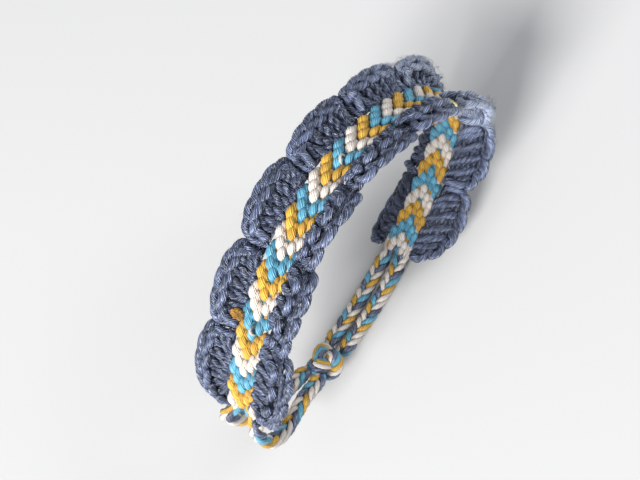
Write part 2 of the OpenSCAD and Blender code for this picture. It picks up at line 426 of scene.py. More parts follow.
# Each floss has its dyed colour, then the colour of the painted shade in its grooves and deep places.
FLOSS = {
    "turquoise": floss("turquoise_floss", (0.155, 0.45, 0.60), (0.03, 0.16, 0.26), roughness=0.45, gleam=0.6),
    "golden": floss("golden_floss", (0.71, 0.465, 0.065), (0.38, 0.18, 0.018)),
    "cream": floss("cream_floss", (0.745, 0.71, 0.675), (0.48, 0.41, 0.345), depth=0.4,
                   spread=0.06, streak=0.06),
    "slate": floss("slate_floss", (0.185, 0.225, 0.36), (0.012, 0.016, 0.04), roughness=0.36, depth=0.85,
                   spread=0.2, streak=0.8, sheen=0.05, gleam=0.8),
    "haze": floss("haze_fibre", (0.66, 0.71, 0.79), (0.50, 0.55, 0.63)),
    "amber": floss("amber_floss", (0.86, 0.50, 0.09), (0.50, 0.23, 0.03), spread=0.45, streak=0.3),
    "straw": floss("straw_floss", (0.80, 0.78, 0.38), (0.40, 0.38, 0.14)),
}
print("materials:", ", ".join(FLOSS))

# %% [markdown]
# ## The chevron knots
# Each row has five double half hitches: two come down from each edge and one
# ties them in the middle. Each hitch shows a plump wrap that rises out of the
# band, runs over it and dives in again, and the edge of a second one. The
# three colours follow each other row by row, and the points of the rows look
# to the near end.

# %% Lay the wraps of every knot
rng = np.random.default_rng(11)
ROW_ORDER = ("turquoise", "golden", "cream")
LAST_COLOUR = 1
KNOT_ROW = 3.2
FIRST_POINT = BAND_START + 2.75
KNOT_MARGIN = 1.2
ROWS = int((BAND_STOP - FIRST_POINT) / KNOT_ROW) + 1
# For each column from the front edge to the back edge: its place y, its rise
# towards the far end, the slant of its wraps and half their width.
COLUMN_Y, RISE, SLANT, HALF_W = 0, 1, 2, 3
COLUMNS = np.array([[-2.05, 2.4, 0.1, 0.54], [-1.05, 1.3, 0.22, 0.6], [0.08, 0, 0.36, 0.7],
                    [1.12, 1.3, 0.4, 0.7], [1.98, 2.65, 0.36, 0.68]])
WRAP_LEN = 1.95
WRAP_RINGS = 15
WRAP_POWER = 2.2
WRAP_PLUMP = 1.06
WRAP_TAPER = 0.42
WRAP_TWIST_LEN = 6.0
WRAP_END_SHADE = 0.9
WEAVE_LOW = 0.65
PROUD = 0.14
# The wraps of the band's inner face are flatter and start at this depth.
INNER_FLAT = 0.8
INNER_LOW = 1.0
# How far one wrap differs from another: shares of length and width, then the
# slant, then the height in millimetres.
LENGTH_VARY = 0.08
WIDTH_VARY = 0.06
SLANT_VARY = 0.07
HEIGHT_VARY = 0.07
# For each wrap of a hitch: how far on towards the far end it lies, how much
# lower, which also gives it as much painted shade, its share of the width and
# half its height.
FULL_WRAP = (0.0, 0.0, 1.0, 0.62)
SHADED_WRAP = (0.9, 0.42, 0.8, 0.45)


def any_turn(count):
    """An angle for each of so many strands to start at, drawn at random."""
    return rng.uniform(0, 6, count)


def wraps(s, y, hand, out_top, out_low, slant):
    """Wraps over one face of the band, from the far end of each to the near one.

    Along a wrap s falls evenly by its length, y drifts by the slant, and the
    height follows one minus a power of the way from its middle, so it is
    round on top and dives at both ends.
    """
    t = np.linspace(-1, 1, WRAP_RINGS)
    n = len(s)
    length = WRAP_LEN * rng.uniform(1 - LENGTH_VARY, 1 + LENGTH_VARY, n)[:, None]
    lean = (slant + SLANT_VARY * rng.uniform(-1, 1, n))[:, None]
    here = s[:, None] + t * length / 2
    across = y[:, None] + t * length / 2 * lean
    out = out_low + (np.reshape(out_top, (-1, 1)) - out_low) * (1 - np.abs(t) ** WRAP_POWER)
    path = on_loop(here, across, out)
    up = unit(on_loop(here, across, out + hand) - path)
    return path, up


row, column = np.meshgrid(np.arange(-1, ROWS), np.arange(len(COLUMNS)), indexing="ij")
row, column = row.ravel(), column.ravel()
knot_s = FIRST_POINT + row * KNOT_ROW + COLUMNS[column, RISE]
inside = (knot_s > BAND_START + KNOT_MARGIN) & (knot_s < BAND_STOP - KNOT_MARGIN)
row, column, knot_s = row[inside], column[inside], knot_s[inside]
knot_colour = (LAST_COLOUR - row) % 3


def lay_knots(colour):
    """Both wraps of this colour's knots on the outer and on the inner face: a
    full one, and one beyond it that lies lower and is half hidden.

    A wrap's width falls off from its middle with the square of the way to its
    ends, and its painted shade grows with the cube. The lower wrap also gets
    painted shade by as much as it lies lower.
    """
    pick = knot_colour == colour
    place = COLUMNS[column[pick]]
    s, y, slant = knot_s[pick], place[:, COLUMN_Y], place[:, SLANT]
    t = np.linspace(-1, 1, WRAP_RINGS)
    plump = WRAP_PLUMP * (1 - WRAP_TAPER * t**2)
    groups = []
    for beyond, sunk, share, high in (FULL_WRAP, SHADED_WRAP):
        width = share * place[:, HALF_W] * rng.uniform(1 - WIDTH_VARY, 1 + WIDTH_VARY, len(s))
        half_w = width[:, None] * plump
        top = BAND_T - high + PROUD - sunk + rng.uniform(-HEIGHT_VARY, HEIGHT_VARY, len(s))
        for hand, height in ((1, high), (-1, high * INNER_FLAT)):
            out_top, out_low = (top, WEAVE_LOW) if hand > 0 else (height, INNER_LOW)
            path, up = wraps(s + beyond, y, hand, out_top, out_low, hand * slant)
            # Painted shade at the wrap's diving ends and on the lower, half hidden wrap.
            dark = WRAP_END_SHADE * np.abs(t) ** 3 + sunk
            groups.append(strands(path, up, half_w, height, WRAP_TWIST_LEN, sides=16, threads=8, groove=0.1,
                                  start_turn=any_turn(len(s)), tip=0.7, shade=dark))
    return groups


for number, colour in enumerate(ROW_ORDER):
    make_piece(colour + "_knots", lay_knots(number), FLOSS[colour],
               ["chevron_band"] if number == 0 else [])

# %% [markdown]
# ## The strings inside the band
# Between the wraps the six strings of the band run on under the knots, and
# specks of them show in the small gaps. They also keep light from shining
# through the band. Their colour carries painted shade, as they lie under the
# knots.

# %% Lay the six strings
STRING_ORDER = ("cream", "golden", "turquoise", "turquoise", "golden", "cream")
STRING_OUT = 0.75
STRING_SPAN = BAND_W - 1.8
STRING_MARGIN = 1.3
STRING_RINGS = 220
STRING_HALF_W = 0.5
STRING_HALF_H = 0.35
STRING_TWIST_LEN = 4.0
# Painted shade on the strings, which lie under the knots.
STRING_SHADE = 0.5
SWAY = 0.12


def strings(colour):
    """The strings of one colour: straight round the band, swaying a little with the rows."""
    last = len(STRING_ORDER) - 1
    places = np.array([k for k, name in enumerate(STRING_ORDER) if name == colour])
    y = (places - last / 2)[:, None] * STRING_SPAN / last
    s = np.linspace(BAND_START + STRING_MARGIN, BAND_STOP - STRING_MARGIN, STRING_RINGS)[None, :]
    sway = SWAY * np.sin(2 * np.pi * s / ROW + y)
    path = on_loop(s, y + sway, STRING_OUT + 0 * y)
    up = unit(on_loop(s, y + sway, STRING_OUT + 1 + 0 * y) - path)
    return [strands(path, up, STRING_HALF_W, STRING_HALF_H, STRING_TWIST_LEN, shade=STRING_SHADE)]


for colour in ROW_ORDER:
    make_piece(colour + "_strings", strings(colour), FLOSS[colour])

# %% [markdown]
# ## The crocheted shells
# Each edge of the band carries a row of shells. A shell is a fan of posts
# that leave the band close together and end in a chain of small loops round
# the rim. The sheet of an edging turns up from the band by its own lean, so
# a place on it is given by the way round the loop, the height v over the
# band's edge and the depth w through the sheet. At the far bend, where the
# yarn rubs, it is drawn paler and with less painted shade in its grooves:
# partly the pale look of fuzz from wear, partly painted sheen.

# %% Map places on an edging into space
BACK_SHELL_H = 6.0
FRONT_SHELL_H = 6.6
TURN_LEN = 3.0
HEIGHT, LEAN, VALLEY = 0, 1, 2
BACK_SHELLS = np.array([[0.99, 39, 1], [0.96, 45, 0.82], [1.02, 46, 0.7], [1.05, 47, 1.1],
                        [1.06, 60, 1.4], [1.08, 86, 1.2], [1.05, 110, 1.75], [0.92, 64, 1]])
FRONT_SHELLS = np.array([[1.06, 26, 1], [0.97, 47, 1], [0.98, 60, 0.9], [0.91, 49, 0.6],
                         [1, 33, 1.2], [1.04, 22, 1.05], [1.03, 21, 1], [1, 26, 1]])
EDGING_START = BAND_START + BARE_END
SHORT_STEP = 0.05


def on_edging(hand, table, s, v, w):
    """Points on an edging: the sheet leaves the band level, turns on an arc to
    the lean of its place and runs on straight, with w square to it."""
    place = np.clip((s - EDGING_START) / SHELL_LEN - 0.5, 0, SHELLS - 1)
    low = np.minimum(place.astype(int), SHELLS - 2)
    t = place - low
    lean = np.radians(table[low, LEAN] + (table[low + 1, LEAN] - table[low, LEAN]) * smooth(t))
    turned = np.minimum(v, TURN_LEN)
    radius = TURN_LEN / lean
    angle = lean * turned / TURN_LEN
    across = radius * np.sin(angle) + (v - turned) * np.cos(lean) - w * np.sin(angle)
    up = radius * (1 - np.cos(angle)) + (v - turned) * np.sin(lean) + w * np.cos(angle)
    return on_loop(s, hand * (BAND_W / 2 + CLEARANCE + across), MID + up)


def on_sheet(hand, table, s, v, w):
    """The points, and the direction out of the sheet's face there."""
    path = on_edging(hand, table, s, v, w)
    return path, unit(on_edging(hand, table, s, v, w + SHORT_STEP) - path)


# Where the far bend's yarn turns paler, with less painted shade, partly from wear and partly as painted
# sheen.
PALE_FROM = 14.0
PALE_LEN = 20.0
PALE_UNTIL = 38.0
PALE_END_LEN = 11.0
PALE_SHARE = 0.8


def wear_and_sheen(s):
    """How much of the grooves' painted shade gives way to a pale haze, partly
    from wear and partly painted sheen: one smooth step takes it up at the far
    bend and another one takes it back past the bend."""
    rise = smooth(np.clip((s - PALE_FROM) / PALE_LEN, 0, 1))
    fall = smooth(np.clip((s - PALE_UNTIL) / PALE_END_LEN, 0, 1))
    return PALE_SHARE * (rise - fall)


print("front shells stand up by", (FRONT_SHELL_H * FRONT_SHELLS[:, HEIGHT]).round(1), "mm")
print("back shells stand up by", (BACK_SHELL_H * BACK_SHELLS[:, HEIGHT]).round(1), "mm")

# %% [markdown]
# ## The rim of a shell
# The rim is a crochet chain: legs that spread from a point like leaves, each
# pair tucked into the one before. The rim's line follows the solid's outline
# over the arch and goes on down to the band between the shells. The legs
# follow it at equal steps of length, and each shell's near end lies over the
# far end of the next one. Each stitch has a leg on the upper face and one
# behind. The front shells are worked looser, so their legs spread wide.

# %% Lay the chain round every shell
VALLEY_H = 3.4
ARCH_POWER = 0.8
END_H = 1.6
END_POWER = 1.5
RIM_LOW = 0.5
ARCH_STEPS = 801
FOOT_STEPS = 60
EVEN_STEPS = 300
YARN_R = 0.66
YARN_TWIST_LEN = 4.2
SIDE_INSET = 0.2
LEG_RINGS = 21
LEG_START = -0.2
WIDE_AT = 0.75
WIDE_VARY = 0.08
DIVE = 0.35
BELOW_BAND = 0.3
# Painted shade where a leg dives under the next stitch.
LEG_SHADE = 1.1
CROWDING = 0.42
CROWDING_STEEP = 4
# The number of stitches round a shell and, for each leg of a stitch: its reach
# in stitches, then depth w and drop below the rim's line, first at the point
# and then where the leg is widest.
CHAINS = {
    "front": (6, {"inner": (0.9, 0.4, 3.2, 1.15, 1.5), "behind": (1.3, 0.1, 1.2, -0.7, 0.1)}),
    "back": (7, {"inner": (1.3, 0.1, 0.5, 0.6, 1.3), "behind": (1.3, -0.1, 0.3, -0.6, 0.1)}),
}


def rim_line(table, shell_h, shell):
    """The rim's middle line as length, s, v and outward direction at equal steps.

    Over the arch the place is a sine and the height a cosine of one angle,
    both to the power 0.8, and straight feet lead down to the band. The outer
    half of an edging's last shell is longer and falls off evenly. The whole
    line is moved in: by the yarn's radius on top, by less at the sides, so
    that neighbours lie on each other.
    """
    a = np.radians(np.linspace(-90, 90, ARCH_STEPS))
    ending = ((a < 0) & (shell == 0)) | ((a > 0) & (shell == SHELLS - 1))
    reach = SHELL_LEN / 2 + BARE_END * ending
    height = shell_h * table[shell, HEIGHT]
    beside = np.minimum(shell + (a > 0), SHELLS - 1)
    low = np.where(ending, END_H, VALLEY_H * table[beside, VALLEY])
    s = np.sign(a) * reach * np.abs(np.sin(a)) ** np.where(ending, 1, ARCH_POWER)
    v = low + (height - low) * np.abs(np.cos(a)) ** np.where(ending, END_POWER, ARCH_POWER)
    foot = np.linspace(0, 1, FOOT_STEPS, endpoint=False)
    s = np.concatenate([np.full(FOOT_STEPS, s[0]), s, np.full(FOOT_STEPS, s[-1])])
    v = np.concatenate([RIM_LOW + (low[0] - RIM_LOW) * foot, v, RIM_LOW + (low[-1] - RIM_LOW) * foot[::-1]])
    length = np.concatenate([[0], np.cumsum(np.hypot(np.diff(s), np.diff(v)))])
    even = np.linspace(0, length[-1], EVEN_STEPS)
    s, v = np.interp(even, length, s), np.interp(even, length, v)
    ds, dv = np.gradient(s), np.gradient(v)
    out_s, out_v = -dv / np.hypot(ds, dv), ds / np.hypot(ds, dv)
    return even, s - SIDE_INSET * out_s, v - YARN_R * out_v, out_s, out_v


def rim_legs(hand, table, shell_h, stitches, leg):
    """One leg of every stitch: it leaves the stitch's point low down, opens by a
    sine to its widest place, and dives under the next stitch at both ends."""
    reach, w_point, drop_point, w_wide, drop_wide = leg
    t = np.linspace(0, 1, LEG_RINGS)
    all_s, all_v, all_w = [], [], []
    for shell in range(SHELLS):
        length, s, v, out_s, out_v = rim_line(table, shell_h, shell)
        pitch = length[-1] / stitches
        start = (np.arange(stitches) + LEG_START)[:, None] * pitch
        here = np.clip(start + pitch * reach * t, 0, length[-1])
        open_up = np.sin(np.pi / 2 * np.clip(t / WIDE_AT, 0, 1))
        open_up = open_up + WIDE_VARY * rng.uniform(-1, 1, (stitches, 1))
        dive = 1 - np.sqrt(np.sin(np.pi * t))
        drop = drop_point + (drop_wide - drop_point) * open_up + DIVE * dive
        drop = np.minimum(drop, np.interp(here, length, v) + BELOW_BAND)
        local = np.interp(here, length, s)
        all_s.append(EDGING_START + (shell + 0.5) * SHELL_LEN + local - drop * np.interp(here, length, out_s))
        all_v.append(np.interp(here, length, v) - drop * np.interp(here, length, out_v))
        wide = w_point + (w_wide - w_point) * open_up - DIVE * np.sign(w_wide) * dive
        all_w.append(wide - CROWDING * np.tanh(CROWDING_STEEP * local / SHELL_LEN))
    s, v, w = (np.concatenate(part) for part in (all_s, all_v, all_w))
    path, up = on_sheet(hand, table, s, v, w)
    # Painted shade at the diving ends, with less of it and a paler colour towards the far bend.
    return strands(path, up, YARN_R, YARN_R, YARN_TWIST_LEN, sides=24, threads=8,
                   start_turn=any_turn(len(s)), shade=LEG_SHADE * dive - wear_and_sheen(s))


rim_len = rim_line(BACK_SHELLS, BACK_SHELL_H, 1)[0][-1]
print("the second back shell's rim is", round(rim_len, 1), "mm long")

# %% [markdown]
# ## The posts of a shell
# A post is yarn drawn up from the band and wrapped round itself. Two strands
# twisted about one line give the same slanting lumps. On the back edging the
# posts leave the band close together, fan out and dive under the rim. On the
# front one they lie side by side at a slant, like the inner leaves of large
# stitches whose outer leaves are the rim's legs. A second layer behind stands
# in the gaps of the first, as the yarn's other half does.

# %% Lay the posts of every shell
# For each edging's posts: their number, how much of their tops' spread the feet
# keep, the slant, where the feet begin, how far the feet of the upper layer
# stand up and how fast that fades, how far inside the rim the tops end, the
# helix and yarn radius, the length of a twist, and the painted shade of the
# upper layer and of all feet.
POST_STYLE = {
    "front": {"count": 8, "keep": 1.0, "slant": 0.6, "low": -0.6, "foot_w": 0.35, "foot_power": 2,
              "inset": 2.6, "helix_r": 0.2, "yarn_r": 0.58, "helix_len": 7.0, "shaded": 0.2,
              "foot_shade": 0.0},
    "back": {"count": 7, "keep": 0.55, "slant": 0.15, "low": -0.5, "foot_w": -0.6, "foot_power": 4,
             "inset": 1.35, "helix_r": 0.32, "yarn_r": 0.55, "helix_len": 3.4, "shaded": 0.3,
             "foot_shade": 0.5},
}
POST_RINGS = 18
POST_TWIST_LEN = 3.4
# The share of the rim's length that the tops stand under, and where it begins.
TOPS_SPAN = 0.76
TOPS_FROM = 0.12
SHORTEST_POST = 1.2
FOOT_VARY = 0.12
NEXT_POST_TURN = 0.9
POST_BOW = 0.5
POST_W = 0.3
POST_DIVE = 0.4
# Painted shade at the posts' tops, where they dive under the rim.
TOP_SHADE = 0.9
UNDER_INSET = 1.35
UNDER_FOOT_W = 0.6


def posts(hand, table, shell_h, face, strand, count, keep, slant, low, foot_w, foot_power, inset,
          helix_r, yarn_r, helix_len, shaded, foot_shade):
    """One of the two strands of every post on a face: a helix round the line
    from the post's foot on the band's edge to its place inside the rim.

    The lower layer has one post less, and its tops lie close under the rim.
    """
    if face < 0:
        count, inset, shaded, foot_w = count - 1, UNDER_INSET, 0.0, UNDER_FOOT_W
    t = np.linspace(0, 1, POST_RINGS)
    share = (np.arange(count)[:, None] + 0.5) / count
    all_s, all_v, all_w = [], [], []
    for shell in range(SHELLS):
        length, s, v, out_s, out_v = rim_line(table, shell_h, shell)
        at = length[-1] * (TOPS_FROM + TOPS_SPAN * share)
        top_s = np.interp(at, length, s) - inset * np.interp(at, length, out_s)
        top_v = np.interp(at, length, v) - inset * np.interp(at, length, out_v)
        top_v = np.maximum(top_v, low + SHORTEST_POST)
        middle = (s[0] + s[-1]) / 2
        foot_s = middle + keep * (top_s - middle) + slant * (top_v - low)
        foot_s = np.minimum(foot_s + FOOT_VARY * rng.uniform(-1, 1, (count, 1)), s[-1])
        long_s, long_v = top_s - foot_s, top_v - low
        long = np.hypot(long_s, long_v)
        turn = 2 * np.pi * t * long / helix_len + strand * np.pi + NEXT_POST_TURN * np.arange(count)[:, None]
        aside = helix_r * np.cos(turn)
        bow = POST_BOW * np.sin(np.pi * t) * (2 * share - 1)
        shell_s = EDGING_START + (shell + 0.5) * SHELL_LEN
        all_s.append(shell_s + foot_s + long_s * t + bow - long_v / long * aside)
        all_v.append(low + long_v * t + long_s / long * aside)
        foot = foot_w * (1 - t) ** foot_power
        all_w.append(face * (POST_W - POST_DIVE * t**6) + foot + helix_r * np.sin(turn))
    s, v, w = (np.concatenate(part) for part in (all_s, all_v, all_w))
    path, up = on_sheet(hand, table, s, v, w)
    # Painted shade: over the upper layer, at the tops under the rim and at the feet, less towards the far
    # bend.
    dark = shaded + TOP_SHADE * t**5 + foot_shade * (1 - t) ** 3
    return strands(path, up, yarn_r, yarn_r, POST_TWIST_LEN, sides=16, threads=8,
                   start_turn=any_turn(len(s)), shade=dark - wear_and_sheen(s))


# %% [markdown]
# ## The inside of the sheet
# One could see the floor between the posts. Plain yarn in the middle of the
# sheet closes these gaps. It is hardly seen, so few sides are enough. It is
# painted deep in shade, as yarn inside the sheet lies in shade.

# %% Fill the sheets and make every piece of both edgings
FILL_HEIGHTS = 0.4 + 0.85 * np.arange(7)
FILL_RINGS = 16
FILL_BELOW_TOP = 0.5
FILL_HALF_W = 0.5
FILL_HALF_H = 0.4
CORE_INSET = 0.9
CORE_STEP = 6


def fill(hand, table, shell_h):
    """Plain yarn inside the sheet that closes the gaps between the posts and in
    the rim: rows at even heights, and one strand along the rim's line."""
    t = np.linspace(0, 1, FILL_RINGS)
    row_s, row_v, rim_s, rim_v = [], [], [], []
    for shell in range(SHELLS):
        length, s, v, out_s, out_v = rim_line(table, shell_h, shell)
        middle = EDGING_START + (shell + 0.5) * SHELL_LEN
        heights = FILL_HEIGHTS[FILL_HEIGHTS < v.max() - FILL_BELOW_TOP]
        top = np.argmax(v)
        near = np.interp(heights, v[:top], s[:top])[:, None]
        far = np.interp(heights, v[:top:-1], s[:top:-1])[:, None]
        row_s.append(middle + near + (far - near) * t)
        row_v.append(heights[:, None] + 0 * t)
        rim_s.append((middle + s - CORE_INSET * out_s)[None, ::CORE_STEP])
        rim_v.append((v - CORE_INSET * out_v)[None, ::CORE_STEP])
    groups = []
    for s, v in ((row_s, row_v), (rim_s, rim_v)):
        s, v = np.concatenate(s), np.concatenate(v)
        path, up = on_sheet(hand, table, s, v, 0 * s)
        # Painted shade: the fill is drawn dark as yarn deep inside the sheet, less so towards the far bend.
        groups.append(strands(path, up, FILL_HALF_W, FILL_HALF_H, POST_TWIST_LEN, sides=8, threads=4,
                              shade=1.0 - wear_and_sheen(s)))
    return groups


EDGES = (("front", -1, FRONT_SHELLS, FRONT_SHELL_H), ("back", 1, BACK_SHELLS, BACK_SHELL_H))
for edge, hand, table, shell_h in EDGES:
    stitches, legs = CHAINS[edge]
    for name, leg in legs.items():
        make_piece(f"{edge}_rim_{name}", [rim_legs(hand, table, shell_h, stitches, leg)],
                   FLOSS["slate"], [edge + "_edging"] if name == "inner" else [])
    for face, name in ((1, "upper"), (-1, "under")):
        groups = [posts(hand, table, shell_h, face, strand, **POST_STYLE[edge]) for strand in (0, 1)]
        make_piece(f"{edge}_posts_{name}", groups, FLOSS["slate"])
    make_piece(edge + "_fill", fill(hand, table, shell_h), FLOSS["slate"])

# %% [markdown]
# ## The plaited tails
# At each end of the band the strings part into two plaits. In a flat plait
# of five strands each one swings from side to side in turn, and passes over
# and under the others twice as often, which two sines give.

# %% Lay the plaits
BRAID_W = 2.8
BRAID_T = 2.1
BRAID_SPREAD = 3.1
KNOT_LEN = 7.5
KNOT_W = 7.0
KNOT_T = 4.6
REST_LEN = 2 * HALF_LOOP - (BAND_STOP - BAND_START)
BRAID_LEN = (REST_LEN - KNOT_LEN) / 2 - 2 * CLEARANCE
KNOT_AT = BAND_STOP + REST_LEN / 2
PLAIT_PITCH = 8.0
PLAIT_R = 0.52
PLAIT_TWIST_LEN = 3.6
PLAIT_RINGS = 125
# A plait runs on past its start and its end by these shares of its length. On
# the way it narrows and sinks under the band, and rises into the knot.
PLAIT_UNDER = 0.15
UNDER_SPREAD = 0.8
UNDER_NARROW = 0.8
UNDER_SINK = 0.35
PLAIT_ON = 0.1
ON_NARROW = 0.6
ON_RISE = 0.9
# Where the strands leave the band: the way in which they part into the plait,
# and their places across the band and over the hollow.
GATHER_FROM = -1.2
GATHER_LEN = 3.8
FIRST_RANK_Y = 0.35
RANK_STEP = 0.5
GATHER_OUT = 0.85
# Each way's rows: the share of the length, the spread and the lift.
NEAR_FRONT_WAY = np.array([[0, 1.1, 0.2], [0.15, 1.4, 1.8], [0.3, 1.6, 3.2], [0.45, 1.6, 3.6],
                           [0.6, 1.3, 2.8], [0.8, 1.05, 1.2], [1, 1, 0.8]])
NEAR_BACK_WAY = np.array([[0, 2, 0.8], [0.1, 2.4, 1.8], [0.22, 2.2, 2.1], [0.4, 1.6, 1.5],
                          [0.6, 1.15, 0.9], [0.8, 1, 0.8], [1, 1, 0.8]])
FAR_WAY = np.array([[0, 1, 0.1], [0.15, 1.02, 0.2], [0.3, 1.04, 0.3], [0.45, 1.04, 0.5],
                    [0.6, 1.02, 0.6], [0.8, 1, 0.7], [1, 1, 0.8]])


def way_at(way, t):
    """Spread and lift at share t of a plait's length: a smooth curve through the rows."""
    n = len(way) - 1
    i = np.clip(np.searchsorted(way[:, 0], t, side="right") - 1, 0, n - 1)
    a, b, c, d = way[np.maximum(i - 1, 0)], way[i], way[i + 1], way[np.minimum(i + 2, n)]
    u = ((t - b[:, 0]) / (c[:, 0] - b[:, 0]))[:, None]
    curve = 0.5 * (2 * b + (c - a) * u + (2 * a - 5 * b + 4 * c - d) * u**2 + (3 * b - a - 3 * c + d) * u**3)
    return curve[:, 1], curve[:, 2]


def plait(start, turn, hand, way, order, ranks, colour):
    """The strands of one colour in a plait: y swings by a sine, and the depth
    by a sine of twice the angle, each strand a fifth of a turn later. One end
    spreads out over half the band's width, and the other runs on in a narrow
    bundle inside the knot."""
    which = np.array([k for k, name in enumerate(order) if name == colour])
    t = np.linspace(-PLAIT_UNDER, 1 + PLAIT_ON, PLAIT_RINGS)
    spread, lift = way_at(way, np.clip(t, 0, 1))
    under = np.clip(-t / PLAIT_UNDER, 0, 1)
    join = np.clip((t - 1) / PLAIT_ON, 0, 1)
    angle = 2 * np.pi * (t[None] * BRAID_LEN / PLAIT_PITCH + which[:, None] / len(order))
    narrow = 1 - ON_NARROW * join
    swing = (1 - UNDER_NARROW * under) * narrow
    spread = spread + (UNDER_SPREAD - spread) * under
    y = hand * BRAID_SPREAD / 2 * spread * narrow + (BRAID_W / 2 - PLAIT_R) * swing * np.sin(angle)
    out = BRAID_T / 2 + lift * (1 - under) - UNDER_SINK * under + ON_RISE * join
    out = out + (BRAID_T / 2 - PLAIT_R) * swing * np.sin(2 * angle)
    joined = smooth(np.clip((t * BRAID_LEN - GATHER_FROM) / GATHER_LEN, 0, 1))
    y = hand * (FIRST_RANK_Y + RANK_STEP * ranks[which][:, None]) * (1 - joined) + y * joined
    out = GATHER_OUT * (1 - joined) + out * joined
    s = start + turn * (CLEARANCE + t * BRAID_LEN)
    path = on_loop(s, y, out)
    up = unit(on_loop(s, y, out + 1) - path)
    return strands(path, up, PLAIT_R, PLAIT_R, PLAIT_TWIST_LEN, start_turn=any_turn(len(which)))


# A plait's strands by colour, and each one's rank from the middle of the band.
FRONT_ORDER = ("golden", "turquoise", "slate", "cream", "cream")
FRONT_RANKS = np.array([1, 0, 2, 3, 4])
BACK_ORDER = ("golden", "cream", "slate", "turquoise", "cream")
BACK_RANKS = np.array([3, 2, 0, 1, 4])
PLAITS = ((BAND_START, -1, -1, NEAR_FRONT_WAY, FRONT_ORDER, FRONT_RANKS),
          (BAND_START, -1, 1, NEAR_BACK_WAY, BACK_ORDER, BACK_RANKS),
          (BAND_STOP, 1, -1, FAR_WAY, FRONT_ORDER, FRONT_RANKS),
          (BAND_STOP, 1, 1, FAR_WAY, BACK_ORDER, BACK_RANKS))
BRAID_NODES = ["near_braid_front", "near_braid_back", "far_braid_front", "far_braid_back"]
for colour in ("cream", "golden", "turquoise", "slate"):
    groups = [plait(*place, colour) for place in PLAITS]
    make_piece(colour + "_plaits", groups, FLOSS[colour],
               BRAID_NODES if colour == "cream" else [])

# %% [markdown]
# ## The knot on the under side
# The four plaits are tied in one plain overhand knot. Its line is a trefoil,
# the shape of an overhand knot with its ends joined. It lies flat against
# the hollow and carries a bundle of strands that turn slowly about it.

# %% Tie the knot
KNOT_STRANDS = ("cream", "golden", "turquoise", "slate", "cream", "golden", "turquoise", "slate")
KNOT_YARN_R = 0.46
KNOT_BUNDLE_R = 1.0
KNOT_TWIST_LEN = 4.0
KNOT_RINGS = 150


def knot_strand(colour):
    """The strands of one colour in the knot. The trefoil's line is sin t + 2 sin 2t
    along the loop, cos t - 2 cos 2t across it and -sin 3t in depth."""
    which = np.array([k for k, name in enumerate(KNOT_STRANDS) if name == colour])
    t = np.linspace(0, 2 * np.pi, KNOT_RINGS)
    turn = 2 * t[None] + 2 * np.pi * which[:, None] / len(KNOT_STRANDS)
    bundle = KNOT_BUNDLE_R + KNOT_YARN_R
    flat = np.stack([np.sin(t) + 2 * np.sin(2 * t), np.cos(t) - 2 * np.cos(2 * t)], -1) / 3
    step = np.gradient(flat, axis=0)
    step = step / np.linalg.norm(step, axis=1, keepdims=True)
    aside = KNOT_BUNDLE_R * np.cos(turn)
    s = KNOT_AT + (KNOT_LEN / 2 - bundle) * flat[:, 0] - aside * step[:, 1]
    y = (KNOT_W / 2 - bundle) * flat[:, 1] + aside * step[:, 0]
    out = KNOT_T / 2 - (KNOT_T / 2 - bundle) * np.sin(3 * t) + KNOT_BUNDLE_R * np.sin(turn)
    path = on_loop(s, y, out)
    up = unit(on_loop(s, y, out + 1) - path)
    return strands(path, up, KNOT_YARN_R, KNOT_YARN_R, KNOT_TWIST_LEN)


for colour in ("cream", "golden", "turquoise", "slate"):
    make_piece(colour + "_knot", [knot_strand(colour)], FLOSS[colour],
               ["tie_knot"] if colour == "cream" else [])

# %% [markdown]
# ## Loose ends
# A worn bracelet has a few stray ends. Two small cream loops stand out of
# turquoise rows, a pale straw thread lies on the front edging, one light hair
# crosses the back one, and a cut bundle of amber thread shows its end beside
# the band. Each is a strand too, laid on what carries it.

# %% Lay the stray ends
# For each cream loop: the places s and y of its two ends, and its bulge.
CREAM_LOOPS = np.array([[-21.5, -0.05, -22.8, -0.75, 0.25], [7.2, -0.2, 5.7, -0.7, 0.3]])
LOOP_R = 0.26
LOOP_LOW = 1.0
LOOP_RISE = 1.25
AMBER_AT = (-20.8, 2.8)
AMBER_W = 1.5
AMBER_H = 2.4
AMBER_LOW = 1.5
AMBER_TOP = 2.9
AMBER_ROUND = 0.35
AMBER_VARY = 0.12
AMBER_FOOT = 0.8
AMBER_THREADS = 34
AMBER_THREAD_R = 0.22
AMBER_SHADE = 0.4
SPIRAL_ANGLE = 2.4
# Places s, v and w of the two threads that lie on the edgings.
STRAW_PLACES = ((24.6, 5.3, 1.05), (23.6, 6.4, 1.15), (22.9, 7.1, 1.0), (22.5, 7.7, 0.6), (22.2, 8.1, 0.2))
HAIR_PLACES = ((-14.0, 2.0, 1.9), (-14.4, 1.0, 2.1), (-14.7, -0.3, 1.8))
STRAW_R = 0.22
HAIR_R = 0.06
THIN_END = 0.4


def cream_loops():
    """Small arcs over the band between two places. On the way each bulges to the
    back edge by a parabola, and rises by one minus the cube of the way from
    its middle."""
    t = np.linspace(0, 1, 16)
    s1, y1, s2, y2, bulge = (value[:, None] for value in CREAM_LOOPS.T)
    s = s1 + (s2 - s1) * t
    y = y1 + (y2 - y1) * t + bulge * 4 * t * (1 - t)
    out = LOOP_LOW + LOOP_RISE * (1 - np.abs(2 * t - 1) ** 3) + 0 * s
    path = on_loop(s, y, out)
    up = unit(on_loop(s, y, out + 1) - path)
    return [strands(path, up, LOOP_R, LOOP_R, 3.0, tip=2.0)]


